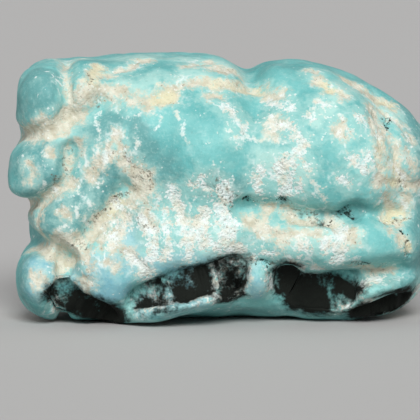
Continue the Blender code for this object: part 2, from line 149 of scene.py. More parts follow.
# The marks on the front, drawn in the view, in picture points: half width, then the path.
marks = {
    "crust": [    # cream host rock, in bands and patches
        (8, [(20, 137), (34, 133), (47, 129)]), (11, [(47, 129), (60, 124), (68, 116)]),
        (8, [(70, 117), (80, 103), (94, 93)]), (8, [(92, 92), (102, 91), (111, 92)]),
        (3, [(66, 65), (67, 84), (70, 103)]), (4.5, [(99, 66), (94, 80), (86, 92)]),
        (4, [(118, 88), (134, 101), (145, 102)]), (7, [(147, 102), (161, 96), (172, 96)]),
        (4, [(172, 90), (187, 82), (210, 80)]), (2.5, [(94, 75), (118, 71), (136, 64)]),
        (4.5, [(141, 61), (146, 60)]), (1.8, [(185, 65), (210, 61)]),
        (4.5, [(210, 84), (223, 83), (237, 87), (250, 89), (261, 92), (269, 97), (280, 94)]),
        (4, [(212, 66), (226, 68), (240, 73)]), (3, [(210, 96), (223, 96)]),
        (2.6, [(115, 134), (119, 150), (125, 163)]), (4, [(125, 163), (134, 171), (145, 175), (151, 187)]),
        (6, [(148, 188), (136, 193), (121, 202), (110, 211), (101, 223), (93, 238)]),
        (5.5, [(136, 178), (146, 188), (144, 202)]), (4, [(130, 190), (126, 200), (118, 208)]),
        (3.2, [(122, 214), (112, 226), (104, 240), (98, 248)]), (2.4, [(112, 218), (119, 232), (112, 246)]),
        (3, [(147, 204), (146, 216), (152, 226)]), (2.6, [(176, 206), (180, 220), (190, 222), (206, 218)]),
        (2.5, [(114, 154), (104, 160), (94, 168)]), (4.5, [(96, 162), (95, 170), (92, 178)]),
        (2.5, [(106, 147), (105, 151)]), (1.6, [(77, 142), (79, 152)]),
        (2.2, [(67, 150), (70, 160), (67, 174), (64, 187)]), (2.2, [(49, 150), (51, 151)]),
        (2.2, [(28, 164), (30, 174), (29, 184)]), (3, [(25, 204), (38, 209)]),
        (5, [(38, 208), (46, 199), (58, 189), (70, 182)]),
        (2.6, [(37, 211), (36, 220), (40, 234), (44, 243)]), (2.8, [(58, 211), (62, 216)]),
        (1.2, [(60, 214), (68, 218)]), (6, [(37, 247), (50, 250)]), (10, [(54, 249), (66, 246), (78, 245)]),
        (4.5, [(62, 258), (60, 270), (60, 285)]), (5, [(70, 258), (84, 252)]), (5, [(36, 276), (37, 283)]),
        (4, [(83, 280), (82, 285)]), (2, [(87, 258), (90, 280), (86, 292)]),
        (3.5, [(112, 263), (116, 268)]), (2.5, [(126, 254), (138, 264), (146, 274)]),
        (5.5, [(252, 218), (264, 229), (277, 237), (285, 234)]), (5, [(285, 233), (304, 232), (317, 231)]),
        (5, [(268, 208), (263, 216), (256, 220)]), (5, [(290, 214), (300, 218), (312, 222)]),
        (6, [(333, 224), (344, 230), (354, 236)]), (3, [(312, 70), (321, 79)]),
        (4.5, [(322, 80), (330, 88)]), (4, [(343, 94), (346, 96)]),
        (6, [(350, 81), (366, 90), (380, 100), (392, 105)]),
        (3.6, [(377, 113), (381, 126), (379, 137), (381, 154), (384, 171), (378, 184)]),
        (3, [(383, 131), (392, 143), (397, 154), (398, 171), (404, 182)]),
        (1.8, [(384, 112), (397, 118), (404, 124), (407, 134), (415, 141)]),
        (5, [(378, 185), (397, 182), (420, 187)]), (4.5, [(388, 220), (400, 215)]),
        (2, [(388, 150), (396, 168), (398, 190)]), (2.5, [(386, 196), (392, 210), (388, 226)]),
        (2, [(410, 150), (413, 170)]), (2.5, [(404, 200), (402, 216), (398, 228)]),
        (2, [(370, 104), (372, 120), (376, 140)]), (3, [(404, 193), (411, 201)]),
        (3, [(403, 240), (410, 247)]), (2.5, [(355, 267), (372, 269), (390, 268)]),
        (4, [(273, 122), (284, 122)]), (6, [(272, 120), (276, 128)]), (2.5, [(339, 120), (341, 134)]),
    ],
    "frost": [    # granular white patches
        (2.2, [(146, 300), (158, 303), (172, 301), (188, 295), (206, 289), (222, 281)]),
        (2.2, [(212, 272), (222, 268), (228, 262)]), (1.6, [(240, 262), (246, 276), (242, 292)]),
        (1.8, [(266, 270), (270, 284)]), (1.8, [(292, 264), (300, 270), (290, 278)]),
        (2, [(56, 296), (62, 300), (66, 308)]), (1.6, [(336, 300), (346, 297), (356, 292)]),
        (1.4, [(227, 104), (233, 112), (237, 123), (240, 134)]), (1.6, [(241, 128), (250, 124)]),
        (2.4, [(268, 104), (280, 102), (291, 106)]), (4.5, [(268, 118), (276, 124), (287, 121)]),
        (3.2, [(294, 132), (302, 142)]), (5, [(302, 144), (292, 154), (286, 164)]),
        (6, [(280, 166), (285, 180), (283, 192)]), (3.4, [(262, 168), (258, 180), (260, 192)]),
        (2, [(300, 160), (306, 168)]), (2.4, [(298, 182), (300, 190)]), (1.2, [(308, 114), (311, 117)]),
        (1.2, [(317, 101), (327, 103)]), (1.2, [(357, 114), (368, 126)]), (1.2, [(351, 131), (354, 133)]),
        (1.6, [(353, 154), (356, 158)]), (1.4, [(371, 155), (374, 160)]), (1.8, [(343, 181), (349, 184)]),
        (1.2, [(362, 165), (366, 172)]), (2, [(190, 186), (203, 178)]), (2.4, [(199, 182), (206, 190)]),
        (5, [(222, 188), (230, 202)]), (6, [(217, 208), (228, 222), (236, 230)]),
        (7, [(228, 238), (238, 250)]), (5, [(194, 222), (190, 236), (187, 254)]),
        (3, [(172, 192), (178, 208), (182, 224)]), (4, [(206, 240), (222, 250)]),
        (2, [(161, 198), (164, 214), (166, 228)]), (4.5, [(138, 222), (150, 230), (154, 244), (150, 258)]),
        (3.5, [(168, 222), (170, 240), (167, 258)]), (3, [(126, 254), (138, 264), (148, 278)]),
        (3, [(112, 204), (122, 206)]), (2.5, [(113, 222), (110, 240)]), (1.6, [(96, 210), (102, 232)]),
        (1.6, [(128, 222), (118, 234), (112, 242)]), (4, [(205, 214), (200, 228), (204, 244)]),
        (1.4, [(244, 258), (264, 254), (285, 256)]), (4, [(300, 243), (302, 251)]),
        (6, [(340, 228), (338, 245), (341, 257)]), (3, [(330, 240), (326, 250)]),
        (2, [(315, 269), (317, 271)]), (2.5, [(292, 270), (294, 276)]), (3, [(270, 279), (274, 287)]),
        (2.6, [(135, 308), (147, 304), (161, 304), (174, 299), (188, 298), (210, 294)]),
        (4, [(218, 296), (236, 291)]), (4, [(361, 286), (384, 276)]), (3, [(339, 299), (345, 298)]),
        (3, [(368, 303), (388, 302)]), (4, [(412, 298), (420, 291)]), (3, [(58, 302), (63, 305)]),
    ],
    "pits": [    # small deep pits, dark inside
        (2.2, [(283, 201), (284, 205)]), (1.6, [(249, 199), (249, 202)]), (1.8, [(340, 213), (341, 217)]),
        (1.6, [(350, 211), (352, 214)]), (0.8, [(318, 219), (329, 221)]), (1.2, [(405, 233), (407, 258)]),
        (1.2, [(352, 265), (360, 264), (370, 265)]), (1.0, [(388, 115), (387, 128)]),
        (1.8, [(61, 292), (63, 296)]), (1.2, [(250, 263), (258, 261), (268, 263)]),
        (0.8, [(340, 216), (352, 210)]),
    ],
    "ochre": [    # where iron warms the host rock
        (9, [(160, 96), (172, 96)]), (6, [(210, 84), (237, 87), (261, 92)]), (5, [(99, 66), (95, 78)]),
        (7, [(385, 150), (397, 182)]), (7, [(392, 218), (400, 214)]), (6, [(407, 240), (408, 250)]),
        (6, [(381, 103), (392, 105)]), (5, [(118, 200), (104, 216)]), (5, [(325, 83), (330, 89)]),
    ],
    "shadeAndStain": [    # painted shade in the recesses, holes and crease, dark stain in the pits, besides the hollows' painted shade
        (8, [(152, 293), (172, 289), (198, 284)]), (9, [(236, 268), (234, 284)]),
        (6, [(280, 276), (284, 288)]), (7, [(298, 291), (322, 292), (340, 290)]),
        (5, [(66, 300), (76, 304), (96, 314)]), (1.8, [(340, 213), (352, 214)]),
        (1.4, [(304, 214), (322, 219)]), (1.2, [(283, 200), (284, 206)]),
    ],
    "lace": [    # thin white lines
        (0.9, [(98, 112), (97, 122), (99, 134)]), (0.7, [(99, 134), (96, 146), (98, 156)]),
        (0.8, [(84, 148), (83, 158), (86, 168), (83, 180)]), (0.7, [(108, 140), (107, 152), (104, 162)]),
        (0.7, [(112, 134), (118, 128), (124, 134)]),
        (0.7, [(76, 164), (80, 176), (77, 188), (82, 200), (79, 214)]),
        (0.7, [(86, 196), (90, 206), (86, 218), (90, 228)]),
        (0.7, [(42, 150), (46, 160), (40, 172), (44, 184), (40, 194)]),
        (0.6, [(52, 190), (60, 198), (70, 194)]), (0.6, [(46, 226), (56, 232), (66, 228), (78, 230)]),
        (0.7, [(118, 150), (126, 158), (130, 166)]),
        (0.8, [(176, 112), (182, 122), (180, 132), (187, 142)]),
        (0.6, [(126, 114), (134, 116), (140, 112)]), (0.6, [(150, 112), (158, 118), (154, 128)]),
        (0.6, [(134, 128), (140, 138), (136, 148)]),
        (0.8, [(160, 196), (164, 208), (162, 220), (167, 232)]),
        (0.8, [(172, 190), (176, 200), (175, 212), (181, 224)]),
        (0.8, [(152, 196), (155, 208), (151, 220)]), (0.7, [(186, 196), (190, 206), (188, 216)]),
        (0.7, [(126, 206), (134, 212), (130, 222)]), (0.7, [(196, 186), (206, 192), (212, 188)]),
        (0.8, [(225, 103), (232, 108), (236, 118), (238, 128), (243, 134)]),
        (0.8, [(240, 132), (249, 125), (245, 118)]),
        (0.6, [(244, 136), (256, 139), (270, 136), (284, 139)]),
        (0.6, [(234, 136), (246, 142), (240, 150)]),
        (0.7, [(262, 104), (268, 98), (276, 104), (284, 100), (292, 106)]),
        (0.6, [(308, 112), (314, 108), (312, 118)]), (0.6, [(318, 100), (326, 104), (332, 100)]),
        (0.7, [(338, 116), (342, 126), (338, 136), (344, 144)]),
        (0.6, [(348, 150), (356, 158), (352, 166)]), (0.6, [(350, 130), (356, 136)]),
        (0.6, [(362, 150), (368, 160), (362, 168), (368, 176)]),
        (0.6, [(340, 182), (348, 184), (352, 190)]), (0.6, [(310, 176), (316, 186), (312, 196)]),
        (0.6, [(322, 196), (328, 204), (324, 210)]),
        (0.8, [(372, 112), (378, 126), (382, 142), (388, 158), (394, 172)]),
        (0.8, [(382, 146), (392, 158), (401, 172), (406, 184)]),
        (0.7, [(386, 112), (398, 120), (405, 132), (414, 142)]),
        (0.7, [(376, 150), (372, 164), (376, 178)]), (0.6, [(398, 196), (404, 206), (400, 218)]),
        (0.6, [(382, 196), (378, 208), (384, 220)]),
        (0.8, [(212, 270), (224, 264), (236, 260), (250, 262)]),
        (0.8, [(288, 258), (300, 262), (314, 268), (326, 264)]),
        (0.7, [(330, 268), (345, 262), (360, 260)]), (0.7, [(246, 268), (250, 278), (246, 288)]),
    ],
    "islands": [    # bare turquoise, cut out of crust and frost
        (5, [(134, 226), (134, 246)]), (4, [(134, 211), (141, 216)]), (3, [(203, 226), (206, 230)]),
        (3, [(217, 235), (220, 239)]), (5, [(202, 256), (222, 258)]), (2.5, [(158, 222), (160, 252)]),
        (2, [(178, 228), (178, 248)]), (5, [(184, 204), (192, 210)]), (3, [(283, 218), (288, 222)]),
        (3, [(30, 116), (36, 118)]), (2.5, [(22, 122), (24, 126)]), (3.5, [(390, 124), (398, 132)]),
        (2, [(214, 222), (216, 226)]), (2.5, [(118, 218), (116, 224)]), (2, [(142, 240), (144, 248)]),
        (2, [(276, 150), (280, 156)]), (2, [(294, 168), (296, 176)]), (3, [(130, 80), (134, 84)]),
        (3, [(196, 90), (206, 94)]), (3, [(112, 100), (118, 106)]), (2, [(76, 222), (82, 230)]),
    ],
    "clear": [    # stone that stands clear of the painted shade in the recesses
        (3.4, [(146, 308), (172, 306), (196, 301), (214, 296)]), (3, [(215, 274), (221, 284), (217, 298)]),
        (11, [(255, 266), (257, 280), (255, 294)]), (5, [(338, 303), (362, 297), (388, 290), (412, 282)]),
        (3, [(366, 303), (388, 301)]), (4, [(58, 300), (66, 306)]), (5, [(72, 280), (84, 288)]),
        (3, [(249, 266), (249, 288)]), (3, [(270, 266), (272, 290)]),
        (3.5, [(288, 268), (310, 272), (330, 274), (352, 276)]),
    ],
    "dirt": [    # dark speckle
        (7, [(220, 184), (228, 194), (234, 204)]), (4, [(296, 211), (308, 215), (320, 219)]),
        (5, [(338, 213), (352, 213)]), (3, [(132, 186), (118, 197), (104, 209), (96, 222)]),
        (4, [(74, 247), (88, 243)]), (3, [(120, 150), (134, 172), (150, 182)]),
        (3, [(352, 266), (384, 268)]), (3, [(236, 262), (262, 262)]), (3, [(402, 180), (408, 192)]),
        (3, [(386, 222), (402, 218)]), (3, [(60, 176), (50, 188)]), (3, [(216, 276), (222, 290)]),
        (3, [(140, 222), (150, 228)]), (3, [(228, 222), (236, 232)]), (2.5, [(282, 200), (290, 206)]),
        (3, [(64, 290), (58, 298)]), (2, [(90, 72), (98, 108)]),
    ],
    "cracks": [    # fine cracks
        (0.8, [(68, 152), (66, 161), (70, 172)]), (0.5, [(146, 168), (152, 181), (151, 192)]),
        (0.5, [(126, 188), (116, 197), (106, 206), (98, 218)]), (0.5, [(90, 226), (84, 236)]),
        (0.5, [(52, 178), (56, 188)]), (0.7, [(91, 72), (92, 77), (90, 81)]),
        (0.7, [(98, 109), (103, 110)]), (0.8, [(346, 268), (362, 264), (384, 266)]),
        (0.7, [(252, 264), (262, 259), (276, 264)]), (0.8, [(404, 232), (407, 246), (406, 258)]),
        (0.7, [(389, 114), (386, 130)]), (0.7, [(284, 158), (278, 168)]),
        (0.8, [(58, 288), (66, 296), (60, 304)]),
    ],
    "blue": [    # where the turquoise is bluer
        (20, [(108, 272), (112, 290)]), (12, [(93, 262), (92, 288)]), (15, [(38, 262), (38, 288)]),
        (14, [(126, 240), (132, 262)]), (14, [(150, 300), (200, 296)]), (12, [(250, 280), (258, 292)]),
        (14, [(160, 266), (214, 262)]), (12, [(215, 256), (250, 268)]), (12, [(70, 280), (78, 286)]),
    ],
    "shadeAndDusk": [    # painted shade at the left and right edges and in creases, darker along the bottom, with some duskier patches within
        (24, [(36, 84), (34, 100)]), (26, [(40, 160), (42, 188)]), (24, [(58, 222), (90, 205)]),
        (18, [(92, 190), (112, 172)]), (16, [(88, 132), (110, 118)]),
        (16, [(136, 130), (150, 160), (170, 180)]), (12, [(132, 212), (134, 240)]),
        (10, [(208, 184), (236, 190)]), (18, [(408, 112), (418, 150), (420, 200), (418, 262)]),
        (14, [(330, 215), (356, 206)]), (12, [(350, 290), (400, 280)]), (20, [(30, 262), (34, 296)]),
        (9, [(160, 316), (200, 314), (260, 313), (330, 316), (400, 313)]), (10, [(30, 306), (60, 317)]),
        (16, [(28, 150), (30, 190)]), (12, [(96, 300), (110, 308)]), (12, [(20, 110), (20, 130)]),
    ],
    "pale": [    # where it is paler
        (12, [(60, 60), (110, 58), (160, 56), (215, 62), (240, 70)]),
        (10, [(108, 76), (140, 84), (200, 72)]), (9, [(345, 86), (372, 98), (396, 112)]),
        (12, [(200, 236), (246, 262)]), (10, [(320, 122), (336, 100)]), (12, [(300, 240), (350, 236)]),
        (10, [(262, 150), (300, 175)]), (9, [(385, 150), (398, 200)]),
    ],
}

# What the back and the underside carry, worked out from noise, since no view shows them.
hiddenMarks = {
    "patch": {"size": 6.5, "seed": 11, "least": 0.27, "steepness": 5.0},
    "frost": {"size": 3.6, "seed": 37, "least": 0.24, "steepness": 4.0},
    "vein": {"size": 7.5, "seed": 23, "halfWidth": 0.32, "steepness": 0.9},
    "warp": {"size": 2.3, "seed": 5, "reach": 0.8},
    "paleMore": 0.8,               # how far the pale tint reaches round a patch
}

# The lattice noise: what tells its corners apart, and how far their leans are scattered in fine noise.
# The shader's noise: its usual detail.
noise = {"keys": (127.1, 311.7, 74.7), "scales": (1.0, 1.37, 1.91), "scatter": 437.0, "detail": 2.0}

# Fine relief, in millimetres: how deep each mark lies and how its grains stand.
relief = {
    "crustDepth": 0.16,
    "frostDepth": 0.05,
    "pitDepth": 0.45,
    "crackDepth": 0.22,
    "edge": 0.30,
    "pitEdge": 0.14,
    "shadeAndStainReach": 0.55,            # how far from a hollow its painted shade goes
    "farthest": 3.0,               # how far from a mark its level is followed
    "flatFade": 0.5,               # height over which relief fades in above the resting flats
    "swellSeed": 51,
    "swells": [(3.4, 0.20), (1.9, 0.12), (1.0, 0.05)],    # size and height
    "grainSeed": 71,
    "grains": [(0.75, 0.09), (0.45, 0.06)],
    "grainOnWax": 0.12,            # the share of the grains that bare turquoise keeps
    "crustRough": 0.45,            # how rough crust is, where frost is 1
    "pocks": {"size": 0.75, "seed": 91, "least": 0.30, "softness": 0.3, "depth": 0.28, "onWax": 0.1},
    "wander": {"size": 1.1, "reach": 0.55, "seeds": (131, 137, 139)},    # how marks stray from their paths
}


# One lump of the heap: (|x/r| to a power, summed, back by that power) less 1, over its slope, is
# roughly the distance to the lump's surface, negative inside.
def lumpDistance(points, lump):
    middle, radii, power = lump[1], lump[2], lump[5]
    angle = math.radians(lump[3])
    x, y, z = (points - middle).T
    turn, lean = math.cos(angle), math.sin(angle)
    turned = np.stack((x * turn - z * lean, y, x * lean + z * turn), 1)
    share = np.abs(turned / radii) + 1e-6
    raised = share ** (power - 1.0)
    scaled = (raised * share).sum(1) ** (1.0 / power)
    slope = np.sqrt(((raised / radii) ** 2).sum(1)) * scaled ** (1.0 - power)
    return (scaled - 1.0) / slope


# The smaller of two distances, rounded off where they differ by less than blend.
def smoothLeast(a, b, blend):
    near = np.maximum(blend - np.abs(a - b), 0.0) / blend
    return np.minimum(a, b) - near * near * blend / 4.0


# The distance to a path of straight stretches, in any number of dimensions.
def pathDistance(points, path):
    path = np.array(path, float)
    nearest = np.full(len(points), np.inf)
    for start, end in zip(path[:-1], path[1:]):
        run = end - start
        along = np.clip(((points - start) @ run) / max(run @ run, 1e-12), 0.0, 1.0)
        away = points - start - along[:, None] * run
        nearest = np.minimum(nearest, (away * away).sum(1))
    return np.sqrt(nearest)


# Smooth noise from about -1 to 1: each corner of a lattice leans its own way, eased between the corners.
def swell(points, seed, scatter=1.0):
    cell = np.floor(points)
    inside = points - cell
    ease = inside**3 * (inside * (inside * 6.0 - 15.0) + 10.0)
    total = np.zeros(len(points))
    for corner in np.ndindex(2, 2, 2):
        key = (cell + corner) @ noise["keys"] + seed
        lean = np.stack([np.sin(key * scale) * scatter for scale in noise["scales"]], 1)
        lean = (lean + 1.0) % 2.0 - 1.0
        share = np.prod(np.where(corner, ease, 1.0 - ease), axis=1)
        total += share * ((inside - corner) * lean).sum(1)
    return total


# The same noise at a size in millimetres, with its leans well scattered.
def fineSwell(points, size, seed):
    return swell(points / size, seed, noise["scatter"])


# The distance to the heap of lumps, before anything is hollowed out of it.
def heapDistance(points):
    distance = np.full(len(points), 1e3)
    for lump in form["lumps"]:
        distance = smoothLeast(distance, lumpDistance(points, lump), lump[4])
    return distance


# The form's distance field: the heap, less hollows and grooves, with uneven relief.
def outside(points):
    distance = heapDistance(points)
    for hollow in form["hollows"]:
        distance = -smoothLeast(-distance, lumpDistance(points, hollow), hollow[4])
    sides = {"front": ((0, 2), 1, -1), "back": ((0, 2), 1, 1), "top": ((0, 1), 2, 1)}
    for _, side, path, width, depth in form["grooves"]:
        plane, seenAlong, end = sides[side]
        middle = (0.0, 0.0, stoneSize[2] / 2)[seenAlong]
        facing = np.clip((points[:, seenAlong] - middle) * end / form["grooveFade"], 0.0, 1.0)
        away = pathDistance(points[:, plane], path) / width
        distance += depth * np.exp(-away * away) * facing
    for seed, (size, height) in enumerate(form["swells"]):
        distance += swell(points / size, seed) * height
    return distance


# Six grids of two parameters, one on each side of a box, numbered so that shared edges are one row of points.
# Returns the places of the points on the box's lattice, and the number of each grid's points.
def boxGrids(cells):
    grids, flips = [], []
    for axis in range(3):
        u, v = (axis + 1) % 3, (axis + 2) % 3
        iu, iv = np.meshgrid(np.arange(cells[u] + 1), np.arange(cells[v] + 1), indexing="ij")
        for end in (0, 1):
            grid = np.zeros(iu.shape + (3,), int)
            grid[..., u], grid[..., v], grid[..., axis] = iu, iv, cells[axis] * end
            grids.append(grid)
            flips.append(end == 0)
    width = max(cells) + 1
    keys = [grid @ (1, width, width * width) for grid in grids]
    known, number = np.unique(np.concatenate([key.ravel() for key in keys]), return_inverse=True)
    lattice = np.stack((known % width, known // width % width, known // (width * width)), 1)
    splits = np.split(number.ravel(), np.cumsum([key.size for key in keys])[:-1])
    return lattice, [part.reshape(key.shape) for part, key in zip(splits, keys)], flips


# The same grids with a point added halfway along every cell.
def finerPoints(points, grids, fineGrids):
    fine = np.zeros((max(grid.max() for grid in fineGrids) + 1, 3))
    for grid, fineGrid in zip(grids, fineGrids):
        sheet = points[grid]
        for axis in (0, 1):
            sheet = np.swapaxes(sheet, 0, axis)
            doubled = np.repeat(sheet, 2, axis=0)[:-1]
            doubled[1::2] = (sheet[:-1] + sheet[1:]) / 2
            sheet = np.swapaxes(doubled, 0, axis)
        fine[fineGrid] = sheet
    return fine


# Every pair of points that share an edge, both ways round.
def gridPairs(grids):
    pairs = [np.stack((g[:-1].ravel(), g[1:].ravel()), 1) for g in grids]
    pairs += [np.stack((g[:, :-1].ravel(), g[:, 1:].ravel()), 1) for g in grids]
    pairs = np.unique(np.sort(np.concatenate(pairs), axis=1), axis=0)
    return np.concatenate((pairs, pairs[:, ::-1]))


# The middle of each point's neighbours.
def neighbourMiddle(points, pairs):
    count = np.bincount(pairs[:, 0])
    return np.stack([np.bincount(pairs[:, 0], points[pairs[:, 1], axis]) / count for axis in range(3)], 1)


# Each round moves a point towards its neighbours' middle, then down the field's slope to the surface.
def shrinkSkin(points, pairs, rounds, relaxShare):
    for _ in range(rounds):
        points = points + (neighbourMiddle(points, pairs) - points) * relaxShare
        here = outside(points)
        step = skin["slopeStep"]
        slope = np.stack([outside(points + move) - here for move in np.eye(3) * step], 1) / step
        steepness = np.linalg.norm(slope, axis=1)
        length = here / np.maximum(steepness, skin["leastSteepness"])
        length = np.clip(length, -skin["longestStep"], skin["longestStep"])
        points = points - slope * (length / steepness)[:, None]
    return points


# Normals at the points: each cell's two diagonals crossed, summed over the cells around a point.
def pointNormals(points, quads):
    a, b, c, d = (points[quads[:, i]] for i in range(4))
    cell = np.cross(c - a, d - b)
    total = np.stack([np.bincount(quads.ravel(), np.repeat(cell[:, axis], 4)) for axis in range(3)], 1)
    return total / np.linalg.norm(total, axis=1, keepdims=True)


# The nugget's skin: a superellipsoid on a box's six grids, shrunk onto the form, doubled twice.
def grownSkin():
    cells = np.array(skin["cells"])
    lattice, grids, flips = boxGrids(cells)
    half = stoneSize / 2 + skin["reachOut"]
    ray = np.tan((lattice / cells * 2 - 1) * np.pi / 4) * half
    points = ray / (np.abs(ray / half) ** skin["power"]).sum(1, keepdims=True) ** (1 / skin["power"])
    points += (0, 0, stoneSize[2] / 2)
    for turn, (rounds, relaxShare) in enumerate(zip(skin["rounds"], skin["relaxShares"])):
        if turn:
            cells = cells * 2
            _, fineGrids, flips = boxGrids(cells)
            points = finerPoints(points, grids, fineGrids)
            grids = fineGrids
        points = shrinkSkin(points, gridPairs(grids), rounds, relaxShare)
        print("skin of", len(points), "points")
    quads = []
    for grid, flip in zip(grids, flips):
        corners = (grid[:-1, :-1], grid[1:, :-1], grid[1:, 1:], grid[:-1, 1:])
        quad = np.stack([corner.ravel() for corner in corners], 1)
        quads.append(quad[:, ::-1] if flip else quad)
    return points, np.concatenate(quads)


# The resting flats worn level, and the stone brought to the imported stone's box.
def settled(points):
    points[:, 2] = np.maximum(points[:, 2], points[:, 2].min() + form["wornAway"])
    low, high = points.min(0), points.max(0)
    return (points - low) / (high - low) * stoneSize + stoneLow


# The camera's own axes: to the right, up, and back towards the camera.
def viewAxes():
    rise = math.radians(view["elevation"])
    right = np.array((1.0, 0.0, 0.0))
    back = np.array((0.0, -math.cos(rise), math.sin(rise)))
    return right, np.cross(back, right), back


# Where each point is seen: picture points right and down, and how near it is in millimetres.
def pictureOf(points):
    right, up, back = viewAxes()
    pointSize = stoneSize[0] / view["stoneSpan"]
    middle = np.array(view["stoneMiddle"])
    away = points - (0.0, 0.0, view["stoneMiddleHeight"])
    half = view["width"] / 2
    across = away @ right / pointSize + (middle[0] - half)
    rise = away @ up / pointSize - (middle[1] - half)
    nearness = away @ back
    grown = view["distance"] / (view["distance"] - nearness)
    return half + across * grown, half - rise * grown, nearness


# Puts a drawn path on the stone: each of its points becomes the nearest seen point of the skin.
def pathOnStone(path, seen, across, down, nearness, points):
    placed = []
    for x, y in path:
        miss = np.maximum((across - x) ** 2 + (down - y) ** 2, view["missAllowed"] ** 2)
        cost = np.where(seen, miss - nearness * view["nearnessPull"], np.inf)
        placed.append(points[np.argmin(cost)])
    return placed


# How far inside a kind of mark each point lies, in millimetres: half width less the distance to its path,
# measured from a place that wanders a little, so that no edge is straight.
def markLevel(kind, points, normals):
    across, down, nearness = pictureOf(points)
    seen = normals @ viewAxes()[2] > view["seenFacing"]
    pointSize = stoneSize[0] / view["stoneSpan"]
    wander = relief["wander"]
    moves = [fineSwell(points, wander["size"], seed) * wander["reach"] for seed in wander["seeds"]]
    wandered = points + np.stack(moves, 1)
    level = np.full(len(points), -relief["farthest"])
    for halfWidth, path in marks[kind]:
        placed = pathOnStone(path, seen, across, down, nearness, points)
        level = np.maximum(level, halfWidth * pointSize - pathDistance(wandered, placed))
    return level


# The same for the sides that no view shows: patches where slow noise is high, veins where it crosses zero.
def hiddenLevels(points):
    patch, frost = (
        (fineSwell(points, kind["size"], kind["seed"]) - kind["least"]) * kind["steepness"]
        for kind in (hiddenMarks["patch"], hiddenMarks["frost"])
    )
    warp, vein = hiddenMarks["warp"], hiddenMarks["vein"]
    warped = points + fineSwell(points, warp["size"], warp["seed"])[:, None] * warp["reach"]
    fromVein = np.abs(fineSwell(warped, vein["size"], vein["seed"])) * vein["size"] * vein["steepness"]
    crust = np.maximum(patch, vein["halfWidth"] - fromVein)
    return {"crust": crust, "frost": frost, "pale": patch + hiddenMarks["paleMore"]}


# A soft step from 0 to 1 between two values.
def softStep(low, high, value):
    share = np.clip((value - low) / (high - low), 0.0, 1.0)
    return share * share * (3.0 - 2.0 * share)


# The fine relief: marks lie a little lower, pits and cracks deep, and grains and pocks roughen
# what is chalky.
def fineRelief(points, levels):
    crust = softStep(-relief["edge"], relief["edge"], levels["crust"])
    frost = softStep(-relief["edge"], relief["edge"], levels["frost"])
    height = -relief["crustDepth"] * crust - relief["frostDepth"] * frost
    for kind, depth in (("pits", relief["pitDepth"]), ("cracks", relief["crackDepth"])):
        height -= depth * softStep(-relief["pitEdge"], relief["pitEdge"], levels[kind])
    for seed, (size, rise) in enumerate(relief["swells"], relief["swellSeed"]):
        height += fineSwell(points, size, seed) * rise
    rough = np.maximum(crust * relief["crustRough"], frost)
    onWax = relief["grainOnWax"]
    for seed, (size, rise) in enumerate(relief["grains"], relief["grainSeed"]):
        height += fineSwell(points, size, seed) * rise * (onWax + (1 - onWax) * rough)
    pocks = relief["pocks"]
    noiseHere = fineSwell(points, pocks["size"], pocks["seed"])
    pock = softStep(pocks["least"], pocks["least"] + pocks["softness"], noiseHere)
    return height - pock * pocks["depth"] * (pocks["onWax"] + (1 - pocks["onWax"]) * rough)


# A new object in the scene, from its mesh, light or camera.
def newObject(name, data):
    made = bpy.data.objects.new(name, data)
    bpy.context.scene.collection.objects.link(made)
    return made


# The finished stone: its skin, the marks on it, and the fine relief that the marks and grains give.
# Painted shade, dark as the stain, lies in the hollows too, except where stone stands clear of it, and
# islands cut crust and frost.
def makeNugget():
    points, quads = grownSkin()
    points = settled(points)
    normals = pointNormals(points, quads)
    shown = softStep(*view["shownFacing"], normals @ viewAxes()[2])
    farthest = relief["farthest"]
    levels = {kind: markLevel(kind, points, normals) for kind in marks}
    for kind, hidden in hiddenLevels(points).items():
        levels[kind] = levels[kind] * shown + np.clip(hidden, -farthest, farthest) * (1 - shown)
    # Painted shade: the hollows are laid near black out to a set reach, along with the drawn marks, and clear
    # marks lift it.
    fromHollow = np.min([lumpDistance(points, hollow) for hollow in form["hollows"]], axis=0)
    shadeAndStain = np.maximum(levels["shadeAndStain"], relief["shadeAndStainReach"] - fromHollow)
    levels["shadeAndStain"] = np.minimum(shadeAndStain, -levels.pop("clear"))
    islands = levels.pop("islands")
    for kind in ("crust", "frost"):
        levels[kind] = np.minimum(levels[kind], -islands)
    print("marks placed")
    offFlat = softStep(0.0, relief["flatFade"], points[:, 2])
    points = points + normals * (fineRelief(points, levels) * offFlat)[:, None]
    points = np.clip(points, stoneLow, stoneHigh)

    mesh = bpy.data.meshes.new("turquoiseStone")
    mesh.vertices.add(len(points))
    mesh.vertices.foreach_set("co", (points / 1000).ravel())
    mesh.loops.add(quads.size)
    mesh.loops.foreach_set("vertex_index", quads.ravel())
    mesh.polygons.add(len(quads))
    mesh.polygons.foreach_set("loop_start", np.arange(0, quads.size, 4))
    mesh.update(calc_edges=True)
    mesh.validate()
    mesh.shade_smooth()
    for kind, level in levels.items():
        attribute = mesh.attributes.new(kind + "Level", "FLOAT", "POINT")
        attribute.data.foreach_set("value", level.astype(np.float32))
    print("stone of", len(quads) * 2, "triangles")
    return newObject("turquoiseStone", mesh)


# Adds a node, sets its settings and its inputs; an input may be another node's output.
def addNode(tree, kind, inputs=(), **settings):
    node = tree.nodes.new(kind)
    for name, value in settings.items():
        setattr(node, name, value)
    for name, value in dict(inputs).items():
        if isinstance(value, bpy.types.NodeSocket):
            tree.links.new(value, node.inputs[name])
        else:
            node.inputs[name].default_value = value
    return node


def mixColours(tree, share, first, second):
    node = addNode(tree, "ShaderNodeMix", {0: share, 6: first, 7: second}, data_type="RGBA")
    return node.outputs[2]


def calculate(tree, operation, *values):
    node = addNode(tree, "ShaderNodeMath", dict(enumerate(values)), operation=operation)
    return node.outputs[0]


def rescale(tree, value, fromLow, fromHigh, toLow=0.0, toHigh=1.0):
    inputs = {"Value": value, "From Min": fromLow, "From Max": fromHigh, "To Min": toLow, "To Max": toHigh}
    return addNode(tree, "ShaderNodeMapRange", inputs, interpolation_type="SMOOTHSTEP").outputs[0]


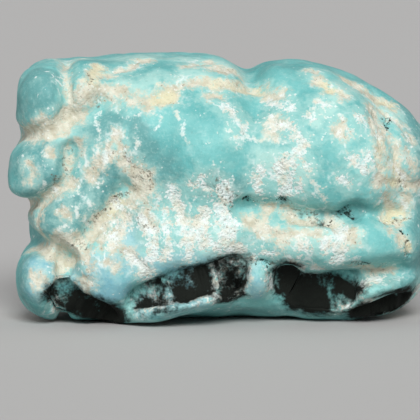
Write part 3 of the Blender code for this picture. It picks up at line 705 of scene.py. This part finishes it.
# A group's empty tree: a place and some numbers go in, and one number comes out.
def newGroup(name, numbers, result):
    tree = bpy.data.node_groups.new(name, "ShaderNodeTree")
    tree.interface.new_socket(name="Place", in_out="INPUT", socket_type="NodeSocketVector")
    for label in numbers:
        tree.interface.new_socket(name=label, in_out="INPUT", socket_type="NodeSocketFloat")
    tree.interface.new_socket(name=result, in_out="OUTPUT", socket_type="NodeSocketFloat")
    return tree, tree.nodes.new("NodeGroupInput").outputs, tree.nodes.new("NodeGroupOutput").inputs


# Grain: noise of one size in millimetres, from -1 to 1.
def makeGrainGroup():
    tree, given, result = newGroup("grain", ("Size", "Detail"), "Value")
    scale = calculate(tree, "DIVIDE", 1000.0, given["Size"])
    inputs = {"Vector": given["Place"], "Scale": scale, "Detail": given["Detail"]}
    texture = addNode(tree, "ShaderNodeTexNoise", inputs)
    centred = calculate(tree, "MULTIPLY_ADD", texture.outputs[0], 4.0, -2.0)    # from 0.25..0.75 to -1..1
    tree.links.new(centred, result["Value"])
    return tree


# What the ragged edge is given besides a place and a level, in the order of stoneLook's edges.
raggedInputs = (
    "Most", "Coarse Size", "Coarse Reach", "Middle Size", "Middle Reach",
    "Fine Size", "Fine Reach", "Softness",
)


# Ragged edge: a mark's level in millimetres, held to a most and frayed by three grains, becomes a mask.
def makeRaggedGroup(grain):
    tree, given, result = newGroup("ragged edge", ("Level", *raggedInputs), "Mask")
    level = calculate(tree, "MINIMUM", given["Level"], given["Most"])
    for name in ("Coarse", "Middle", "Fine"):
        inputs = {"Place": given["Place"], "Size": given[name + " Size"], "Detail": noise["detail"]}
        fray = addNode(tree, "ShaderNodeGroup", inputs, node_tree=grain).outputs[0]
        level = calculate(tree, "MULTIPLY_ADD", fray, given[name + " Reach"], level)
    low = calculate(tree, "MULTIPLY", given["Softness"], -1.0)
    tree.links.new(rescale(tree, level, low, given["Softness"]), result["Mask"])
    return tree


# The stone's colours, in linear red, green and blue, its lustre, and how ragged each kind of mark is:
# the most that its level reaches, then size and reach of a coarse, a middle and a fine grain, and softness.
stoneLook = {
    "deep": (0.110, 0.375, 0.370, 1),
    "main": (0.200, 0.510, 0.490, 1),
    "pale": (0.430, 0.650, 0.590, 1),
    "bluish": (0.205, 0.430, 0.510, 1),
    # Dark teal: painted shade where marked, and a mottle of the stone's own tone.
    "shadeAndDusk": (0.100, 0.255, 0.255, 1),
    "cream": (0.490, 0.455, 0.345, 1),
    "creamPale": (0.650, 0.635, 0.530, 1),
    "ochre": (0.660, 0.615, 0.390, 1),
    "frost": (0.710, 0.780, 0.755, 1),
    "dark": (0.110, 0.095, 0.070, 1),
    # Near black: painted shade in the recesses and hollows, and dark stain in the pits.
    "shadeAndStainBlack": (0.006, 0.008, 0.006, 1),
    "waxRoughness": (0.40, 0.60),
    "chalkRoughness": 0.85,
    "specularLevel": 0.22,
    "ior": 1.45,
    "subsurface": {"Weight": 0.10, "Radius": (0.6, 1.0, 1.0), "Scale": 0.0005},
    "bump": {"Strength": 0.6, "Distance": 0.00009},
    "crustEdge": (0.46, 1.2, 0.38, 0.42, 0.30, 0.19, 0.24, 0.40),
    "frostEdge": (0.36, 1.1, 0.26, 0.42, 0.32, 0.19, 0.30, 0.16),
    "laceEdge": (0.20, 0.9, 0.16, 0.35, 0.16, 0.17, 0.14, 0.16),
    "haloEdge": (1.00, 1.4, 0.50, 0.50, 0.38, 0.22, 0.24, 0.50),
    "pitEdge": (0.40, 0.7, 0.24, 0.32, 0.22, 0.16, 0.18, 0.12),
    "shadeAndStainEdge": (1.20, 1.3, 0.26, 0.45, 0.18, 0.18, 0.12, 0.40),
    "tintEdge": (2.00, 1.8, 0.60, 0.70, 0.30, 0.25, 0.15, 0.80),
    # Millimetres by which a kind of mark reaches past its drawn edge.
    "reach": {
        "haloCrust": 0.75, "haloFrost": 0.95, "crust": 0.20, "frost": 0.14, "lace": 0.06,
        "dirt": 0.05, "cracks": -0.02,
    },
    # How strongly each thing covers what is under it.
    "shares": {
        "halo": 0.40, "laceInHalo": 0.70, "laceElsewhere": 0.14, "ochre": 0.70, "crust": 0.96, "lace": 0.80,
        "fleckInHalo": 0.35, "gritInFrost": 0.70, "grit": 0.62, "cracks": 0.75, "pits": 0.92,
        "bumpInCrust": 0.5, "bumpOnWax": 0.10, "peel": 0.5,
    },
    # Drawn tints of the turquoise: kind of mark, share, colour; the first is painted shade.
    "tints": [("shadeAndDusk", 0.70, "shadeAndDusk"), ("blue", 0.80, "bluish"), ("pale", 0.65, "pale")],
    # Mottles of the turquoise: grain size and detail, where it fades in and is full, share, colour.
    "mottles": [
        (0.95, 3.0, 0.0, 1.3, 0.30, "pale"),
        (0.55, 3.0, 0.1, 1.3, 0.40, "deep"),
        (0.21, 2.0, 0.0, 1.2, 0.26, "pale"),
        (0.27, 1.0, 0.55, 1.3, 0.30, "shadeAndDusk"),
    ],
    # Single grains: size and detail, where it fades in and is full, and what it fades from and to.
    "grains": {
        "drift": (4.7, 3.0, -0.9, 0.8),
        "laceSpread": (2.3, 2.0, -0.1, 0.8),
        "cream": (0.7, 4.0, -0.9, 0.7),
        "thin": (0.34, 3.0, -0.9, 0.5, 0.55, 1.0),
        "sugar": (0.8, 3.0, -0.6, 0.9),
        "hairSpread": (1.7, 2.0, 0.2, 0.9),
        "dirt": (0.24, 2.0, -0.1, 0.9, 0.0, 0.85),
    },
    # Thin lines where a grain crosses zero: size, detail, width.
    "lines": {"lace": (1.25, 4.0, 0.24), "hair": (0.8, 3.0, 0.07)},
    # Specks where a fine grain on top of a share of a slow one is high.
    "fleck": {"slow": 1.9, "slowShare": 0.60, "fine": 0.30, "fade": (0.95, 1.40, 0.0, 0.75)},
    "grit": {"slow": 1.5, "slowShare": 0.35, "fine": 0.19, "fade": (0.72, 1.10)},
    "waxGrain": (0.9, 3.0),
    "sandGrain": (0.22, 2.0),
    "peelGrain": (0.7, 3.0),
}


# The stone's material: layers of colour from the turquoise up, each laid on by a mask, then lustre and bump.
def makeStoneMaterial():
    look, reach, shares = stoneLook, stoneLook["reach"], stoneLook["shares"]
    grain = makeGrainGroup()
    ragged = makeRaggedGroup(grain)
    material = bpy.data.materials.new("turquoiseAndHostRock")
    material.use_nodes = True
    tree = material.node_tree
    shader = tree.nodes["Principled BSDF"]
    place = addNode(tree, "ShaderNodeTexCoord").outputs["Object"]

    def grainOf(size, detail=noise["detail"]):
        inputs = {"Place": place, "Size": size, "Detail": detail}
        return addNode(tree, "ShaderNodeGroup", inputs, node_tree=grain).outputs[0]

    def fadedGrain(name):
        size, detail, *fade = look["grains"][name]
        return rescale(tree, grainOf(size, detail), *fade)

    def levelOf(kind, more=0.0):
        level = addNode(tree, "ShaderNodeAttribute", attribute_name=kind + "Level").outputs["Fac"]
        return calculate(tree, "ADD", level, more) if more else level

    def maskOf(level, edge):
        inputs = {"Place": place, "Level": level, **dict(zip(raggedInputs, look[edge]))}
        return addNode(tree, "ShaderNodeGroup", inputs, node_tree=ragged).outputs[0]

    def share(mask, amount):
        return calculate(tree, "MULTIPLY", mask, amount)

    def lineOf(name):
        size, detail, width = look["lines"][name]
        return rescale(tree, calculate(tree, "ABSOLUTE", grainOf(size, detail)), width, 0.0)

    def specksOf(name):
        speck = look[name]
        fine = grainOf(speck["fine"], 1.0)
        return calculate(tree, "MULTIPLY_ADD", grainOf(speck["slow"]), speck["slowShare"], fine)

    # Turquoise: slow drift from deep to main, tinted where marked (partly with painted shade), mottled at
    # finer sizes.
    colour = mixColours(tree, fadedGrain("drift"), look["deep"], look["main"])
    for kind, amount, tint in look["tints"]:
        colour = mixColours(tree, share(maskOf(levelOf(kind), "tintEdge"), amount), colour, look[tint])
    for size, detail, low, high, amount, tint in look["mottles"]:
        mottle = rescale(tree, grainOf(size, detail), low, high, 0.0, amount)
        colour = mixColours(tree, mottle, colour, look[tint])

    # A pale weathered halo round the marks, broken up, with thin white lace in it.
    nearCrust, nearFrost = levelOf("crust", reach["haloCrust"]), levelOf("frost", reach["haloFrost"])
    halo = maskOf(calculate(tree, "MAXIMUM", nearCrust, nearFrost), "haloEdge")
    colour = mixColours(tree, share(halo, shares["halo"]), colour, look["pale"])
    lace = calculate(tree, "MULTIPLY", lineOf("lace"), fadedGrain("laceSpread"))
    laceShare = calculate(tree, "MULTIPLY_ADD", halo, shares["laceInHalo"], shares["laceElsewhere"])
    colour = mixColours(tree, calculate(tree, "MULTIPLY", lace, laceShare), colour, look["frost"])

    # Host rock: cream bands with ragged edges, warmer where iron has stained them.
    crust = maskOf(levelOf("crust", reach["crust"]), "crustEdge")
    cream = mixColours(tree, fadedGrain("cream"), look["cream"], look["creamPale"])
    ochre = share(maskOf(levelOf("ochre"), "tintEdge"), shares["ochre"])
    cream = mixColours(tree, ochre, cream, look["ochre"])
    colour = mixColours(tree, share(crust, shares["crust"]), colour, cream)

    # Frost: granular white patches that break up at their edges, loose flecks over the turquoise, drawn lace.
    frost = maskOf(levelOf("frost", reach["frost"]), "frostEdge")
    fleck = calculate(tree, "MULTIPLY_ADD", halo, shares["fleckInHalo"], specksOf("fleck"))
    white = calculate(tree, "MULTIPLY", frost, fadedGrain("thin"))
    white = calculate(tree, "MAXIMUM", white, rescale(tree, fleck, *look["fleck"]["fade"]))
    drawnLace = share(maskOf(levelOf("lace", reach["lace"]), "laceEdge"), shares["lace"])
    white = calculate(tree, "MAXIMUM", white, drawnLace)
    sugar = mixColours(tree, fadedGrain("sugar"), look["frost"], look["creamPale"])
    colour = mixColours(tree, white, colour, sugar)

    # Dark grit and hair cracks in the chalky parts, and drawn dirt, then painted shade and stain, cracks and
    # pits.
    grit = rescale(tree, specksOf("grit"), *look["grit"]["fade"])
    hair = calculate(tree, "MULTIPLY", lineOf("hair"), fadedGrain("hairSpread"))
    gritty = calculate(tree, "MAXIMUM", crust, share(frost, shares["gritInFrost"]))
    dark = calculate(tree, "MULTIPLY", calculate(tree, "MAXIMUM", grit, hair), gritty)
    dirt = maskOf(levelOf("dirt", reach["dirt"]), "pitEdge")
    dirty = calculate(tree, "MULTIPLY", dirt, fadedGrain("dirt"))
    dark = calculate(tree, "MAXIMUM", share(dark, shares["grit"]), dirty)
    colour = mixColours(tree, dark, colour, look["dark"])
    # Painted shade: the recesses, holes and hollows laid near black, with dark stain at the pits.
    shadeAndStain = maskOf(levelOf("shadeAndStain"), "shadeAndStainEdge")
    colour = mixColours(tree, shadeAndStain, colour, look["shadeAndStainBlack"])
    cracks = share(maskOf(levelOf("cracks", reach["cracks"]), "pitEdge"), shares["cracks"])
    colour = mixColours(tree, cracks, colour, look["dark"])
    pits = maskOf(levelOf("pits"), "pitEdge")
    colour = mixColours(tree, share(pits, shares["pits"]), colour, look["shadeAndStainBlack"])
    tree.links.new(colour, shader.inputs["Base Color"])

    # Lustre: wax on the turquoise, chalk on host rock, frost, the painted shade and stain, and pits.
    shadeStainAndPits = calculate(tree, "MAXIMUM", shadeAndStain, pits)
    chalk = calculate(tree, "MAXIMUM", calculate(tree, "MAXIMUM", crust, frost), shadeStainAndPits)
    wax = rescale(tree, grainOf(*look["waxGrain"]), -1.0, 1.0, *look["waxRoughness"])
    lustre = addNode(tree, "ShaderNodeMix", {0: chalk, 2: wax, 3: look["chalkRoughness"]})
    tree.links.new(lustre.outputs[0], shader.inputs["Roughness"])
    shader.inputs["IOR"].default_value = look["ior"]
    shader.inputs["Specular IOR Level"].default_value = look["specularLevel"]
    for name, value in look["subsurface"].items():
        shader.inputs["Subsurface " + name].default_value = value

    # Relief too fine for the mesh: sand in the chalky parts, a faint orange peel on the wax.
    coarse = calculate(tree, "MAXIMUM", share(crust, shares["bumpInCrust"]), frost)
    sandShare = rescale(tree, coarse, 0.0, 1.0, shares["bumpOnWax"], 1.0)
    sand = calculate(tree, "MULTIPLY", grainOf(*look["sandGrain"]), sandShare)
    height = calculate(tree, "MULTIPLY_ADD", grainOf(*look["peelGrain"]), shares["peel"], sand)
    bump = addNode(tree, "ShaderNodeBump", {"Height": height, **look["bump"]})
    tree.links.new(bump.outputs[0], shader.inputs["Normal"])
    print("stone material made")
    return material


# The studio: a pale floor, a soft key from above and in front, a weak fill, and the camera.
studio = {
    "floorSide": 4.0,
    "floorColour": (0.47, 0.465, 0.455, 1),
    "floorRoughness": 0.8,
    "worldColour": (0.74, 0.74, 0.76, 1),
    "worldStrength": 0.42,
    "key": {"azimuth": 4, "elevation": 36, "spread": 26, "strength": 3.3},
    "fill": {"azimuth": -50, "elevation": 25, "spread": 40, "strength": 0.25},
}


def makeFloor():
    half = studio["floorSide"] / 2
    mesh = bpy.data.meshes.new("floor")
    corners = [(-half, -half, 0), (half, -half, 0), (half, half, 0), (-half, half, 0)]
    mesh.from_pydata(corners, [], [(0, 1, 2, 3)])
    material = bpy.data.materials.new("paleFloor")
    material.use_nodes = True
    shader = material.node_tree.nodes["Principled BSDF"]
    shader.inputs["Base Color"].default_value = studio["floorColour"]
    shader.inputs["Roughness"].default_value = studio["floorRoughness"]
    mesh.materials.append(material)
    newObject("floor", mesh)


def makeLights():
    for name in ("key", "fill"):
        light = bpy.data.lights.new(name, "SUN")
        light.angle = math.radians(studio[name]["spread"])
        light.energy = studio[name]["strength"]
        lamp = newObject(name, light)
        turn, rise = math.radians(studio[name]["azimuth"]), math.radians(studio[name]["elevation"])
        level = math.cos(rise)
        fromWhere = Vector((math.sin(turn) * level, -math.cos(turn) * level, math.sin(rise)))
        lamp.rotation_mode = "QUATERNION"
        lamp.rotation_quaternion = fromWhere.to_track_quat("Z", "Y")
    world = bpy.data.worlds.new("paleWorld")
    world.use_nodes = True
    background = world.node_tree.nodes["Background"]
    background.inputs["Color"].default_value = studio["worldColour"]
    background.inputs["Strength"].default_value = studio["worldStrength"]
    bpy.context.scene.world = world
    bpy.context.scene.view_settings.view_transform = "Standard"


def makeCamera():
    right, up, back = viewAxes()
    pointSize = stoneSize[0] / view["stoneSpan"]
    half = view["width"] / 2
    middleAcross, middleDown = view["stoneMiddle"]
    aim = np.array((0.0, 0.0, view["stoneMiddleHeight"]))
    aim += right * (half - middleAcross) * pointSize + up * (middleDown - half) * pointSize
    data = bpy.data.cameras.new("camera")
    data.sensor_width = view["sensorWidth"]
    data.lens = data.sensor_width * view["distance"] / (view["width"] * pointSize)
    data.clip_start, data.clip_end = view["clip"]
    camera = newObject("camera", data)
    camera.location = (aim + back * view["distance"]) / 1000
    camera.rotation_mode = "QUATERNION"
    camera.rotation_quaternion = Vector(-back).to_track_quat("-Z", "Y")
    bpy.context.scene.camera = camera


makeCamera()
makeLights()
makeFloor()
print("studio made")
stone = makeNugget()
stone.data.materials.append(makeStoneMaterial())
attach(stone, "root")
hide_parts("nugget")
